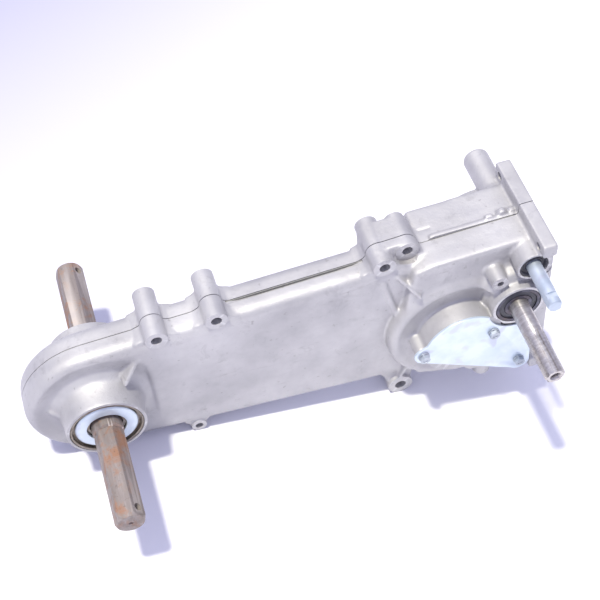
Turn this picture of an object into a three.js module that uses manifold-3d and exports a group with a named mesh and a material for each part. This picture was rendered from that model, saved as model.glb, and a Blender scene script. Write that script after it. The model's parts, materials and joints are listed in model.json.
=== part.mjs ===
// Long die-cast gear case with a right-angle bevel input and a chain to a hexagonal cross shaft.
// Millimetres. Case frame: X runs along the case, 0 at the hex shaft; Y runs across it, 0 at the
// near hub face and PART at the split; Z is up, 0 at the hex shaft. The exported group is moved so
// that its origin is on the input axis at the outer face of the end flange.
import * as THREE from "three";
import { mergeVertices } from "three/addons/utils/BufferGeometryUtils.js";
import Module from "manifold-3d";

const wasm = await Module();
wasm.setup();

const GAP = 0.3; // running and assembly clearance between separate pieces
const PART = 50; // split plane between the two case halves
const GASKET_T = 0.8;
const WALL = 7;
const CASE_HALF = 22; // half width of the slim chain case
const BLOCK_REACH = { near: 34, far: 44 }; // gear block at the flange end, from the split
const CASE_END_R = 72;
const CASE_TOP = { z0: 71.5, slope: 0.03 }; // top edge of the side outline
const CASE_LOW = { x1: 300, z0: -72, z1: -98 }; // bottom edge falls to z1 at x1, then runs level
const FLANGE = { x0: 436, x1: 451, half: 60, top: 98, low: -98, ear: 15 };
const BLOCK_X0 = 335;

const HEX_AXIS = { x: 0, z: 0 };
const HEX = { af: 26, y0: -107, y1: 205, turn: 9, neckR: 15.2, journalR: 17.5, pinR: 4, pinIn: 10 };
const HUB = { outerR: 39.5, footR: 47, boreR: 36, depth: 26 };
const HUB_BEARING = { bore: 17.5, od: 36, w: 17 };

const COUNTER = { x: 362, z: -24 }; // countershaft, also the height of the input axis
const COUNTER_BOSS = { r: 42, y: -5.5 };
const COUNTER_BEARING = { bore: 12.5, od: 26, w: 15 };
const PTO = { x: 416.9, z: 17.2 };
const PTO_SHAFT = { y0: -97, splineTo: -43, r: 10, rootR: 8, teeth: 6, key: 5 };
const PTO_BEARING = { bore: 10, od: 23.5, w: 14 };
const PTO_BOSS = { r: 26.8, y: -8 };
const ROD = { x: 431.6, z: 66, r: 7.5, y0: -54, y1: 128 };
const ROD_BOSS = { r: 17, y: -3 };
const ROD_TUBE = { r: 13.5, y: 151 };
const SHIFT_TRAVEL = 12;
const GEAR_Y = { y0: 19.8, y1: 26.8 }; // plane of the gear pair that drives the splined shaft
const SLEEVE = { y0: 27.2, y1: 41.2, r: 14.6, grooveR: 12.2, groove0: 32.6, groove1: 37.4 };
const FORK = { y0: 33, y1: 37 };
const FORK_EYE_R = 11.5;

const MODULE = 2.5;
const COUNTER_TEETH = 36;
const PTO_TEETH = 19;
const BEVEL = { module: 3.5, pinion: 12, crown: 24, face: 0.26 };
const CHAIN = { pitch: 15.875, drive: 9, driven: 22, plateHalf: 6.8, y: 43 };

// ---------------------------------------------------------------- solids

function solid(geometry) {
  const bare = geometry.index ? geometry.toNonIndexed() : geometry.clone();
  bare.deleteAttribute("normal");
  bare.deleteAttribute("uv");
  const merged = mergeVertices(bare, 1e-4);
  const triVerts = new Uint32Array(merged.index.array);
  const vertProperties = new Float32Array(merged.attributes.position.array);
  const made = new wasm.Manifold(new wasm.Mesh({ numProp: 3, vertProperties, triVerts }));
  if (made.volume() > 0) return made;
  for (let i = 0; i < triVerts.length; i += 3) {
    [triVerts[i + 1], triVerts[i + 2]] = [triVerts[i + 2], triVerts[i + 1]];
  }
  return new wasm.Manifold(new wasm.Mesh({ numProp: 3, vertProperties, triVerts }));
}

function join(...pieces) {
  return pieces.reduce((all, piece) => all.add(piece));
}

function cut(body, ...tools) {
  return tools.reduce((left, tool) => left.subtract(tool), body);
}

function box(x0, x1, y0, y1, z0, z1) {
  const geometry = new THREE.BoxGeometry(x1 - x0, y1 - y0, z1 - z0);
  geometry.translate((x0 + x1) / 2, (y0 + y1) / 2, (z0 + z1) / 2);
  return solid(geometry);
}

// A cylinder along Y at (x, z).
function cylY(at, r, y0, y1, segments = 28, tipR = r) {
  const geometry = new THREE.CylinderGeometry(tipR, r, y1 - y0, segments);
  geometry.translate(at.x, (y0 + y1) / 2, at.z);
  return solid(geometry);
}

// A cylinder along X through (y, z).
function cylX(y, z, r, x0, x1, segments = 24) {
  const geometry = new THREE.CylinderGeometry(r, r, x1 - x0, segments);
  geometry.rotateZ(Math.PI / 2);
  geometry.translate((x0 + x1) / 2, y, z);
  return solid(geometry);
}

function cylZ(x, y, r, z0, z1, segments = 20) {
  const geometry = new THREE.CylinderGeometry(r, r, z1 - z0, segments);
  geometry.rotateX(Math.PI / 2);
  geometry.translate(x, y, (z0 + z1) / 2);
  return solid(geometry);
}

// A turned piece about the Y axis at (x, z): profile points are [radius, y].
function turned(at, profile, segments = 24) {
  const points = profile.map(([r, y]) => new THREE.Vector2(r, y));
  const geometry = new THREE.LatheGeometry(points, segments);
  geometry.translate(at.x, 0, at.z);
  return solid(geometry);
}

// A closed ring section about the Y axis.
function ring(at, r0, r1, y0, y1, segments = 18) {
  return turned(at, [[r0, y0], [r1, y0], [r1, y1], [r0, y1], [r0, y0]], segments);
}

function turnedX(y, z, profile, segments = 28) {
  const points = profile.map(([r, x]) => new THREE.Vector2(r, x));
  const geometry = new THREE.LatheGeometry(points, segments);
  geometry.rotateZ(-Math.PI / 2);
  geometry.translate(0, y, z);
  return solid(geometry);
}

// A shape drawn in X and Z, extruded from y0 to y1, with an optional bevel at the y0 end.
function plateY(shape, y0, y1, bevel = 0, curveSegments = 7) {
  const geometry = new THREE.ExtrudeGeometry(shape, {
    depth: y1 - y0 - 2 * bevel,
    bevelEnabled: bevel > 0,
    bevelThickness: bevel,
    bevelSize: bevel,
    bevelOffset: -bevel,
    bevelSegments: 1,
    curveSegments,
  });
  geometry.translate(0, 0, bevel);
  geometry.rotateX(Math.PI / 2);
  geometry.translate(0, y1, 0);
  return solid(geometry);
}

function polygon(points) {
  return new THREE.Shape(points.map(([x, z]) => new THREE.Vector2(x, z)));
}

function polar(at, r, degrees) {
  const a = THREE.MathUtils.degToRad(degrees);
  return { x: at.x + r * Math.cos(a), z: at.z + r * Math.sin(a) };
}

// Y of a point t away from the split, on the near side (side -1) or the far side (side 1).
function across(side, t) {
  return PART + side * t;
}

function span(side, t0, t1) {
  const a = across(side, t0);
  const b = across(side, t1);
  return [Math.min(a, b), Math.max(a, b)];
}

// ---------------------------------------------------------------- gear teeth

function involuteAngle(base, r) {
  const t = Math.sqrt(Math.max(0, (r / base) ** 2 - 1));
  return t - Math.atan(t);
}

// Tooth outline of a spur gear, thinned by the given backlash at the pitch circle.
function gearShape(teeth, module, { backlash = 0.3, addendum = 0.9, dedendum = 1.2, phase = 0 }) {
  const pitchR = (teeth * module) / 2;
  const base = pitchR * Math.cos(THREE.MathUtils.degToRad(20));
  const tipR = pitchR + addendum * module;
  const rootR = pitchR - dedendum * module;
  const half = Math.PI / (2 * teeth) - backlash / (2 * pitchR);
  const atPitch = involuteAngle(base, pitchR);
  const flank = [Math.max(base, rootR), pitchR, tipR].map((r) => ({
    r,
    a: half + atPitch - involuteAngle(base, r),
  }));
  const shape = [];
  for (let i = 0; i < teeth; i += 1) {
    const mid = phase + (2 * Math.PI * i) / teeth;
    const side = base > rootR ? [{ r: rootR, a: flank[0].a }, ...flank] : flank;
    side.forEach(({ r, a }) => shape.push([r, mid - a]));
    [...side].reverse().forEach(({ r, a }) => shape.push([r, mid + a]));
  }
  return shape;
}

function polarShape(points, at = { x: 0, z: 0 }) {
  return polygon(points.map(([r, a]) => [at.x + r * Math.cos(a), at.z + r * Math.sin(a)]));
}

// A bevel gear about +Z with its apex at the origin: sections shrink in proportion to height.
function bevelGear(teeth, mate, phase) {
  const pitchR = (teeth * BEVEL.module) / 2;
  const height = (mate * BEVEL.module) / 2;
  const points = gearShape(teeth, BEVEL.module, {
    backlash: 1.5, addendum: 0.45, dedendum: 0.85, phase,
  });
  const depth = height * BEVEL.face;
  const geometry = new THREE.ExtrudeGeometry(polarShape(points), { depth, bevelEnabled: false });
  geometry.translate(0, 0, height - depth);
  const position = geometry.attributes.position;
  for (let i = 0; i < position.count; i += 1) {
    const shrink = position.getZ(i) / height;
    position.setX(i, position.getX(i) * shrink);
    position.setY(i, position.getY(i) * shrink);
  }
  return { geometry, pitchR, height, depth };
}

function sprocketShape(teeth, at, phase) {
  const pitchR = CHAIN.pitch / (2 * Math.sin(Math.PI / teeth));
  const points = [];
  for (let i = 0; i < teeth; i += 1) {
    const mid = phase + (2 * Math.PI * i) / teeth;
    const step = Math.PI / teeth;
    points.push([pitchR - 5, mid - step]);
    points.push([pitchR, mid - step * 0.5]);
    points.push([pitchR + 4.6, mid - step * 0.14]);
    points.push([pitchR + 4.6, mid + step * 0.14]);
    points.push([pitchR, mid + step * 0.5]);
  }
  return { shape: polarShape(points, at), pitchR };
}

// Outline of a belt round two circles, grown by `out` on both.
function loopShape(a, ra, b, rb, out) {
  const dx = b.x - a.x;
  const dz = b.z - a.z;
  const lean = Math.atan2(dz, dx);
  const open = Math.acos((ra - rb) / Math.hypot(dx, dz));
  const points = [];
  const arc = (at, r, from, to, steps) => {
    for (let i = 0; i <= steps; i += 1) {
      const t = from + ((to - from) * i) / steps;
      points.push([at.x + (r + out) * Math.cos(t), at.z + (r + out) * Math.sin(t)]);
    }
  };
  arc(a, ra, lean + open, lean + 2 * Math.PI - open, 16);
  arc(b, rb, lean - open, lean + open, 9);
  return polygon(points);
}

// ---------------------------------------------------------------- case

function topAt(x) {
  return CASE_TOP.z0 + CASE_TOP.slope * x;
}

// Side outline of the slim case, moved inwards by `inset`.
function caseShape(inset, xEnd = FLANGE.x0 + 2) {
  const r = CASE_END_R - inset;
  const lowSlope = Math.atan2(CASE_LOW.z1 - CASE_LOW.z0, CASE_LOW.x1);
  const topSlope = Math.atan(CASE_TOP.slope);
  const shape = new THREE.Shape();
  shape.moveTo(xEnd, topAt(xEnd) - inset);
  shape.lineTo(0, topAt(0) - inset);
  shape.absarc(-1, 0, r, Math.PI / 2 + topSlope, 1.5 * Math.PI + lowSlope, false);
  shape.lineTo(CASE_LOW.x1, CASE_LOW.z1 + inset);
  shape.lineTo(xEnd, CASE_LOW.z1 + inset);
  return shape;
}

// Outline of the wide gear block next to the flange.
function blockShape(inset) {
  return polygon([
    [BLOCK_X0 + inset, topAt(BLOCK_X0) - inset],
    [BLOCK_X0 + inset - 22, 40],
    [BLOCK_X0 + inset - 26, -40],
    [BLOCK_X0 + inset - 6, CASE_LOW.z1 + 12 + inset],
    [FLANGE.x0 + 2 - 0.6 * inset, CASE_LOW.z1 + 4 + inset],
    [FLANGE.x0 + 2 - 0.6 * inset, topAt(FLANGE.x0) - inset],
  ]);
}

// Through bosses: hole centre, radii, and reach from the split on the near and far side.
const BOSSES = [
  { x: 67, z: 77.6, r: 11, hole: 5.3, near: 24, far: 34 },
  { x: 125.4, z: 81.6, r: 11, hole: 5.3, near: 24, far: 33 },
  { x: 291.5, z: 88.5, r: 11.5, hole: 5.5, near: 23, far: 35 },
  { x: 318, z: 90.5, r: 10.5, hole: 5.3, near: 12, far: 30 },
  { x: 87, z: -84, r: 8, hole: 4.1, near: 22, far: 22 },
  { x: 305.5, z: -114, r: 13, hole: 6, near: 22, far: 26 },
];

function bossAndWeb(boss, side) {
  const reach = side < 0 ? boss.near : boss.far;
  const [y0, y1] = span(side, 0, reach);
  const up = Math.sign(boss.z);
  const foot = boss.z - up * (boss.r + 12);
  const [w0, w1] = span(side, 0, Math.min(reach, CASE_HALF) - 3);
  const web = box(
    boss.x - boss.r, boss.x + boss.r, w0, w1, Math.min(foot, boss.z), Math.max(foot, boss.z),
  );
  return join(cylY(boss, boss.r, y0, y1, 20), web);
}

// Block that joins the two rear top bosses.
function rearPad(side) {
  const [y0, y1] = span(side, 0, side < 0 ? 11 : 27);
  return plateY(polygon([[281, 70], [281, 92], [284, 98], [322, 101], [329, 96], [333, 76]]), y0, y1, 1);
}

function hubTurned(side) {
  const profile = [[0, 15], [HUB.footR + 4, 15], [HUB.footR + 4, CASE_HALF - 1],
    [HUB.footR, CASE_HALF], [HUB.outerR + 2.5, CASE_HALF + 6], [HUB.outerR, CASE_HALF + 12],
    [HUB.outerR, PART], [0, PART]];
  return turned(HEX_AXIS, profile.map(([r, t]) => [r, across(side, t)]), 30);
}

function flangeShape() {
  const { half, top, low, ear } = FLANGE;
  const step = 6;
  return [[half, top], [half, top - ear], [half - step, top - ear - 3], [half - step, low + ear + 3],
    [half, low + ear], [half, low]];
}

// Half of the end flange, split with the case. Drawn across (t) and up, then extruded along X.
function flangeHalf(side) {
  const outline = [[0, FLANGE.top], ...flangeShape(), [0, FLANGE.low]];
  const shape = new THREE.Shape(outline.map(([t, z]) => new THREE.Vector2(across(side, t), z)));
  const geometry = new THREE.ExtrudeGeometry(shape, {
    depth: FLANGE.x1 - FLANGE.x0 - 2, bevelEnabled: true, bevelThickness: 1, bevelSize: 1,
    bevelOffset: -1, bevelSegments: 1,
  });
  geometry.rotateX(Math.PI / 2);
  geometry.rotateZ(Math.PI / 2);
  geometry.translate(FLANGE.x0 + 1, 0, 0);
  return solid(geometry);
}

const FLANGE_BOLTS = [[48, 89], [48, -87]]; // distance from the split, height
const FLANGE_BOLT_R = 4.5;
const INPUT_HOUSING = { x0: 411, r: 31.5 }; // carries the two input bearings inside the case
const DOWELS = [{ x: 40, z: 66.5, r: 3 }, { x: 405, z: -90, r: 3 }];
const DRAIN = { x: 391, y: 14, z: -107, r: 9.8, threadR: 5, socket: 5 };
const B7 = { x: 398, z: 53.7, r: 8.5, y: -3, tapR: 3.4 };
const PLATE_SCREWS = [{ x: 318.3, z: -22.5 }, { x: 392.2, z: -15 }, { x: 423, z: -76 }];
const PLATE = { y0: -8.2, y1: -5.8 };

// How far the gear block reaches from the split on one side.
function blockReach(side) {
  return side < 0 ? BLOCK_REACH.near : BLOCK_REACH.far;
}

function innerVoid(side) {
  const slim = plateY(caseShape(WALL, FLANGE.x0 - 4), ...span(side, -1, CASE_HALF - 6));
  const wide = plateY(blockShape(WALL), ...span(side, -1, blockReach(side) - 8));
  return join(slim, wide);
}

function caseHalf(side, outside, bores) {
  const shell = join(
    plateY(caseShape(0), ...span(side, -10, CASE_HALF), 3, 9),
    plateY(blockShape(0), ...span(side, -12, blockReach(side)), 8),
    hubTurned(side),
    flangeHalf(side),
    rearPad(side),
    ...BOSSES.map((boss) => bossAndWeb(boss, side)),
    ...outside,
  );
  const hollow = cut(shell, innerVoid(side));
  const housing = cylX(PART, COUNTER.z, INPUT_HOUSING.r, INPUT_HOUSING.x0, FLANGE.x0, 28);
  const hubDepth = across(side, PART - HUB.depth);
  const hubFace = across(side, PART + 1);
  const tools = [
    cylY(HEX_AXIS, HUB.boreR + GAP, Math.min(hubDepth, hubFace), Math.max(hubDepth, hubFace), 30),
    cylY(HEX_AXIS, 30, ...span(side, 10, PART), 20),
    ...BOSSES.map((boss) => cylY(boss, boss.hole, ...span(side, -1, 60), 14)),
    ...FLANGE_BOLTS.map(([t, z]) => cylX(across(side, t), z, FLANGE_BOLT_R, 420, 460, 14)),
    ...DOWELS.map((pin) => cylY(pin, pin.r + GAP, ...span(side, -1, 8), 16)),
    cylX(PART, COUNTER.z, 26 + GAP, 411, 441, 28),
    cylX(PART, COUNTER.z, 20, 440, 460, 28),
    cylX(PART, COUNTER.z, 24, 400, 412, 28),
    ...bores,
  ];
  const beyond = box(-120, 500, ...span(side, -200, GASKET_T / 2 + GAP), -200, 200);
  return cut(join(hollow, housing), ...tools, beyond);
}

function nearOutside() {
  const dome = turned(COUNTER, [[0, COUNTER_BOSS.y], [COUNTER_BOSS.r - 1, COUNTER_BOSS.y],
    [COUNTER_BOSS.r, COUNTER_BOSS.y + 1], [COUNTER_BOSS.r + 0.4, 11.5], [COUNTER_BOSS.r + 4, 15.5],
    [58, 16], [62, 13.5], [67, 13.5], [71, 17.5], [72.5, 28], [0, 28]], 28);
  const ptoBoss = turned(PTO, [[0, PTO_BOSS.y], [PTO_BOSS.r - 1, PTO_BOSS.y],
    [PTO_BOSS.r, PTO_BOSS.y + 1], [PTO_BOSS.r, 10], [PTO_BOSS.r + 5, 20], [0, 20]], 28);
  const rodBoss = turned(ROD, [[0, ROD_BOSS.y], [ROD_BOSS.r - 0.8, ROD_BOSS.y],
    [ROD_BOSS.r, ROD_BOSS.y + 0.8], [ROD_BOSS.r, 40], [0, 40]], 28);
  const posts = PLATE_SCREWS.map((at) => cylY(at, 7.5, COUNTER_BOSS.y, 20, 20));
  const apron = plateY(polygon([[352, -62], [384, -40], [424, -14], [434, -30], [434, -86],
    [372, -86]]), COUNTER_BOSS.y + 6, 20, 2);
  const drain = cylZ(DRAIN.x, DRAIN.y, DRAIN.r, DRAIN.z, -80, 20);
  const tap = cylY(B7, B7.r, B7.y, 16, 20);
  const shoulder = plateY(polygon([[330, 20], [322, 50], [340, 70], [430, 78], [430, 30],
    [400, 10]]), 9, 30, 4);
  const ribs = [
    [[292, 78], [296, 80], [329, 18], [324, 14]],
    [[300, -104], [305, -106], [312, -62], [306, -62]],
    [[52, 58], [55, 56], [32, 31], [28, 34]],
    [[-62, 24], [-60, 27], [-38, 16], [-40, 12]],
  ].map((points) => plateY(polygon(points), 25, 34));
  return [dome, ptoBoss, rodBoss, ...posts, apron, drain, tap, shoulder, ...ribs];
}

// Room for the shift sleeve, the fork and the rod, which all run past the split.
function innerPockets() {
  return [
    cylY(PTO, 15.4, GEAR_Y.y0, 68, 24),
    cylY(ROD, ROD.r + GAP, -5, 90, 20),
    box(399, ROD.x + 12.6, FORK.y0 - 6, FORK.y1 + SHIFT_TRAVEL + 6, PTO.z - 4.5, ROD.z + 12.2),
  ];
}

function nearBores() {
  return [
    cylY(COUNTER, 50, 19.3, 49, 24),
    cylY(COUNTER, COUNTER_BEARING.od + GAP, -9, 13.5, 24),
    cylY(COUNTER, 24, 10, 22, 24),
    cylY(PTO, PTO_BEARING.od + GAP, -12, 6.5, 28),
    cylY(PTO, 16, 2, 20, 20),
    cylY(PTO, 27.4, GEAR_Y.y0 - 1, GEAR_Y.y1 + 2, 28),
    cylY(ROD, 14.5 + GAP, -9, 4, 24),
    ...innerPockets(),
    cylY(B7, B7.tapR, -9, 9, 14),
    ...PLATE_SCREWS.map((at) => cylY(at, 3 + GAP, -9, 7, 12)),
    cylZ(DRAIN.x, DRAIN.y, DRAIN.threadR + GAP, -120, -82, 20),
  ];
}

function farOutside() {
  const bulge = turned(PTO, [[0, 70], [60, 70], [60, 92], [55, 100], [46, 104], [44, 113],
    [41, 116], [30, 116], [29, 113], [0, 113]], 40);
  const clip = box(300, FLANGE.x0, 60, 130, -95, topAt(400));
  const tube = turned(ROD, [[0, 60], [ROD_TUBE.r + 2, 60], [ROD_TUBE.r + 1, 96], [ROD_TUBE.r, 100],
    [ROD_TUBE.r, ROD_TUBE.y - 2], [ROD_TUBE.r - 2, ROD_TUBE.y], [0, ROD_TUBE.y]], 28);
  const counterBoss = turned(COUNTER, [[0, 60], [61, 60], [59, 84], [55, 88], [43, 90], [41, 101],
    [37, 105], [0, 105]], 28);
  return [bulge.intersect(clip), tube, counterBoss];
}

function farBores() {
  return [
    cylY(COUNTER, COUNTER_BEARING.od + GAP, 80, 99, 28),
    cylY(COUNTER, 48, 49, 82, 28),
    cylY(PTO, PTO_BEARING.od + GAP, 80, 101.3, 24),
    cylY(ROD, ROD.r + GAP, 80, 146, 20),
    ...innerPockets(),
  ];
}

function gasket() {
  const y0 = PART - GASKET_T / 2;
  const y1 = PART + GASKET_T / 2;
  const outer = join(plateY(caseShape(0.4, FLANGE.x0 - 0.5), y0, y1), plateY(blockShape(0.4), y0, y1));
  const holes = [
    plateY(caseShape(WALL + GAP, FLANGE.x0 - 4), y0 - 1, y1 + 1),
    ...DOWELS.map((pin) => cylY(pin, pin.r + GAP, y0 - 1, y1 + 1, 16)),
    ...BOSSES.map((boss) => cylY(boss, boss.hole + 1, y0 - 1, y1 + 1, 12)),
    cylY(ROD, FORK_EYE_R + 2 * GAP, y0 - 1, y1 + 1, 20),
  ];
  const trim = box(FLANGE.x0 - 5, FLANGE.x0 + 5, y0 - 1, y1 + 1, -120, 120);
  return cut(outer, ...holes, trim);
}

// ---------------------------------------------------------------- hex output shaft

function hexShaft() {
  const r = HEX.af / Math.sqrt(3);
  const corners = [];
  for (let i = 0; i < 6; i += 1) {
    const at = polar(HEX_AXIS, r, HEX.turn + 60 * i);
    corners.push([at.x, at.z]);
  }
  const hex = plateY(polygon(corners), HEX.y0, HEX.y1);
  const c = 4;
  const neck = 7;
  const turn = [[0, HEX.y0], [r - 2.2, HEX.y0], [r + 0.1, HEX.y0 + c], [r + 0.1, -neck - 3],
    [r - 1.4, -neck], [r - 1.4, 107], [r + 0.1, 110], [r + 0.1, HEX.y1 - c], [r - 2.2, HEX.y1],
    [0, HEX.y1]];
  const body = turned(HEX_AXIS, [[0, -neck], [HEX.neckR - 1.4, -neck], [HEX.neckR, -neck + 1.2],
    [HEX.neckR, 8.8], [HEX.journalR, 8.8], [HEX.journalR, 28], [20, 28], [20, 34],
    [HEX.journalR, 34], [HEX.journalR, 91.2], [HEX.neckR, 91.2], [HEX.neckR, 106],
    [HEX.neckR - 1.4, 107], [0, 107]], 28);
  const facet = THREE.MathUtils.degToRad(HEX.turn + 30);
  const pins = [HEX.y0 + HEX.pinIn, HEX.y1 - HEX.pinIn].map((y) => {
    const geometry = new THREE.CylinderGeometry(HEX.pinR, HEX.pinR, 60, 14);
    geometry.rotateZ(Math.PI / 2);
    geometry.rotateY(-facet);
    geometry.translate(0, y, 0);
    return solid(geometry);
  });
  const centres = [HEX.y0, HEX.y1].map((y) => cylY(HEX_AXIS, 2, y - 3, y + 3, 12));
  return cut(join(hex.intersect(turned(HEX_AXIS, turn, 18)), body), ...pins, ...centres);
}

function hubSeal(side) {
  const t = (v) => across(side, PART - v);
  return turned(HEX_AXIS, [[HUB.boreR, t(0.8)], [HUB.boreR, t(8.4)], [16.2, t(8.4)], [16.2, t(5.2)],
    [33.6, t(5.2)], [33.6, t(0.8)], [HUB.boreR, t(0.8)]], 28);
}

function dustDisc(side) {
  const t = (v) => across(side, PART - v);
  return turned(HEX_AXIS, [[19.5, t(1.4)], [29.6, t(1.4)], [30.5, t(2.2)], [30.5, t(3.4)],
    [19.5, t(3.4)], [19.5, t(1.4)]], 28);
}

// ---------------------------------------------------------------- chain drive

const DRIVE_PITCH_R = CHAIN.pitch / (2 * Math.sin(Math.PI / CHAIN.drive));
const DRIVEN_PITCH_R = CHAIN.pitch / (2 * Math.sin(Math.PI / CHAIN.driven));

function sprocket(teeth, at, hubR, boreR, hubTo) {
  const { shape } = sprocketShape(teeth, at, 0);
  const disc = plateY(shape, CHAIN.y - 4.2, CHAIN.y + 4.2);
  const hub = cylY(at, hubR, CHAIN.y - 6, hubTo, 28);
  return cut(join(disc, hub), cylY(at, boreR, CHAIN.y - 20, hubTo + 5, 28));
}

function driveChain() {
  const strand = (y0, y1) => cut(
    plateY(loopShape(HEX_AXIS, DRIVEN_PITCH_R, COUNTER, DRIVE_PITCH_R, CHAIN.plateHalf), y0, y1),
    plateY(loopShape(HEX_AXIS, DRIVEN_PITCH_R, COUNTER, DRIVE_PITCH_R, -CHAIN.plateHalf),
      y0 - 1, y1 + 1),
  );
  const rollers = [];
  const lean = Math.atan2(COUNTER.z, COUNTER.x);
  const length = Math.hypot(COUNTER.x, COUNTER.z);
  const open = Math.acos((DRIVEN_PITCH_R - DRIVE_PITCH_R) / length);
  const clearEnd = 46;
  [-1, 1].forEach((way) => {
    const a = lean + way * open;
    const from = { x: DRIVEN_PITCH_R * Math.cos(a), z: DRIVEN_PITCH_R * Math.sin(a) };
    const to = {
      x: COUNTER.x + DRIVE_PITCH_R * Math.cos(a),
      z: COUNTER.z + DRIVE_PITCH_R * Math.sin(a),
    };
    const run = Math.hypot(to.x - from.x, to.z - from.z);
    for (let s = clearEnd; s < run - clearEnd; s += CHAIN.pitch) {
      const at = { x: from.x + ((to.x - from.x) * s) / run, z: from.z + ((to.z - from.z) * s) / run };
      rollers.push(cylY(at, 4.6, CHAIN.y - 5.6, CHAIN.y + 5.6, 6));
    }
  });
  return join(strand(CHAIN.y - 6.6, CHAIN.y - 4.8), strand(CHAIN.y + 4.8, CHAIN.y + 6.6), ...rollers);
}

// ---------------------------------------------------------------- countershaft and bevel set

function counterShaft() {
  const b = COUNTER_BEARING;
  return turned(COUNTER, [[0, -3], [b.bore - 1, -3], [b.bore, -2], [b.bore, 13.5], [15, 13.5],
    [15, 30.6], [18, 30.6], [18, 36.4], [b.bore, 36.4], [b.bore, 97],
    [b.bore - 1, 98], [0, 98]], 24);
}

function counterGear() {
  const phase = Math.atan2(PTO.z - COUNTER.z, PTO.x - COUNTER.x);
  const points = gearShape(COUNTER_TEETH, MODULE, { phase });
  const rim = plateY(polarShape(points, COUNTER), GEAR_Y.y0, GEAR_Y.y1 - 0.4);
  const hub = cylY(COUNTER, 20, GEAR_Y.y0, 30.3, 24);
  return cut(join(rim, hub), cylY(COUNTER, 15 + GAP, 0, 60, 24),
    ...[0, 1, 2, 3, 4].map((i) => cylY(polar(COUNTER, 34, 72 * i), 8, 0, 60, 10)));
}

function crownGear() {
  const { geometry, height } = bevelGear(BEVEL.crown, BEVEL.pinion, 0);
  geometry.rotateX(-Math.PI / 2);
  geometry.translate(COUNTER.x, PART, COUNTER.z);
  const back = cylY(COUNTER, 37, PART + height - 0.01, 77, 28);
  const hub = cylY(COUNTER, 22, 76, 82, 24);
  return cut(join(solid(geometry), back, hub),
    cylY(COUNTER, COUNTER_BEARING.bore + GAP, PART, 90, 24));
}

function inputPinion() {
  const phase = Math.PI / BEVEL.pinion;
  const { geometry, height, depth } = bevelGear(BEVEL.pinion, BEVEL.crown, phase);
  geometry.rotateY(Math.PI / 2);
  geometry.translate(COUNTER.x, PART, COUNTER.z);
  const x0 = COUNTER.x + height;
  const shaft = turnedX(PART, COUNTER.z, [[0, x0 - depth + 1], [12, x0 - depth + 1], [12, x0 + 3],
    [16, x0 + 3], [16, 411.3], [12.5, 411.3], [12.5, 442], [11, 442], [11, 472], [10, 474],
    [0, 474]], 24);
  const back = cylX(PART, COUNTER.z, 17, x0 - 0.01, x0 + 4, 24);
  const keyways = [-1, 1].map((way) => box(452, 480, PART - 2.5, PART + 2.5,
    COUNTER.z + way * 9 - 1.6, COUNTER.z + way * 9 + 2.6));
  return cut(join(solid(geometry), back, shaft), ...keyways);
}

// ---------------------------------------------------------------- splined output shaft

function splineShape(rootR, tipR, key, count, at) {
  const points = [];
  for (let i = 0; i < count; i += 1) {
    const mid = (2 * Math.PI * i) / count;
    const tip = Math.asin(key / 2 / tipR);
    const root = Math.asin(key / 2 / rootR);
    points.push([rootR, mid - root], [tipR, mid - tip], [tipR, mid], [tipR, mid + tip]);
    points.push([rootR, mid + root], [rootR, mid + Math.PI / count]);
  }
  return polarShape(points, at);
}

function ptoShaft() {
  const s = PTO_SHAFT;
  const splined = plateY(splineShape(s.rootR, s.r, s.key, s.teeth, PTO), s.y0, s.splineTo + 6);
  const core = turned(PTO, [[0, s.splineTo - 4], [s.rootR, s.splineTo - 4], [s.r, s.splineTo],
    [s.r, 19], [0, 19]], 28);
  const inner = plateY(splineShape(s.rootR, s.r, s.key, s.teeth, PTO), 18, 66);
  const tail = cylY(PTO, s.r, 64, 100, 20);
  const nose = turned(PTO, [[0, s.y0 - 1], [s.r - 1, s.y0 - 1], [s.r + 1, s.y0 + 1.6],
    [s.r + 1, 110], [0, 110]], 28);
  const hole = turned(PTO, [[0, s.y0 - 2], [5.8, s.y0 - 2], [4.2, s.y0 + 2], [4.2, s.y0 + 22],
    [0, s.y0 + 22]], 16);
  return cut(join(splined, core, inner, tail).intersect(nose), hole);
}

const DOG = { at: 12.4, r: 1.3, reach: 4 }; // drive pins between the gear and the sleeve

function dogSpots() {
  return [30, 150, 270].map((degrees) => polar(PTO, DOG.at, degrees));
}

function ptoGear() {
  const toCounter = Math.atan2(COUNTER.z - PTO.z, COUNTER.x - PTO.x);
  const phase = toCounter + Math.PI / PTO_TEETH;
  const rim = plateY(polarShape(gearShape(PTO_TEETH, MODULE, { phase }), PTO), GEAR_Y.y0, GEAR_Y.y1);
  const dogs = dogSpots().map((at) => cylY(at, DOG.r, GEAR_Y.y1 - 1, GEAR_Y.y1 + DOG.reach, 8));
  return cut(join(rim, ...dogs), cylY(PTO, PTO_SHAFT.r + GAP, 0, 60, 24));
}

function shiftSleeve() {
  const { rootR, r, key, teeth } = PTO_SHAFT;
  const s = SLEEVE;
  const body = turned(PTO, [[0, s.y0], [s.r, s.y0], [s.r, s.groove0], [s.grooveR, s.groove0],
    [s.grooveR, s.groove1], [s.r, s.groove1], [s.r, s.y1], [0, s.y1]], 24);
  const bore = plateY(splineShape(rootR + GAP, r + GAP, key + 2 * GAP, teeth, PTO), 20, 60);
  const pockets = dogSpots().map((at) => cylY(at, DOG.r + GAP, s.y0 - 1, GEAR_Y.y1 + DOG.reach + 1, 8));
  return cut(body, bore, ...pockets);
}

// ---------------------------------------------------------------- shift rod and fork

const FORK_PIN = { y: (FORK.y0 + FORK.y1) / 2, r: 1.7 };

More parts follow.
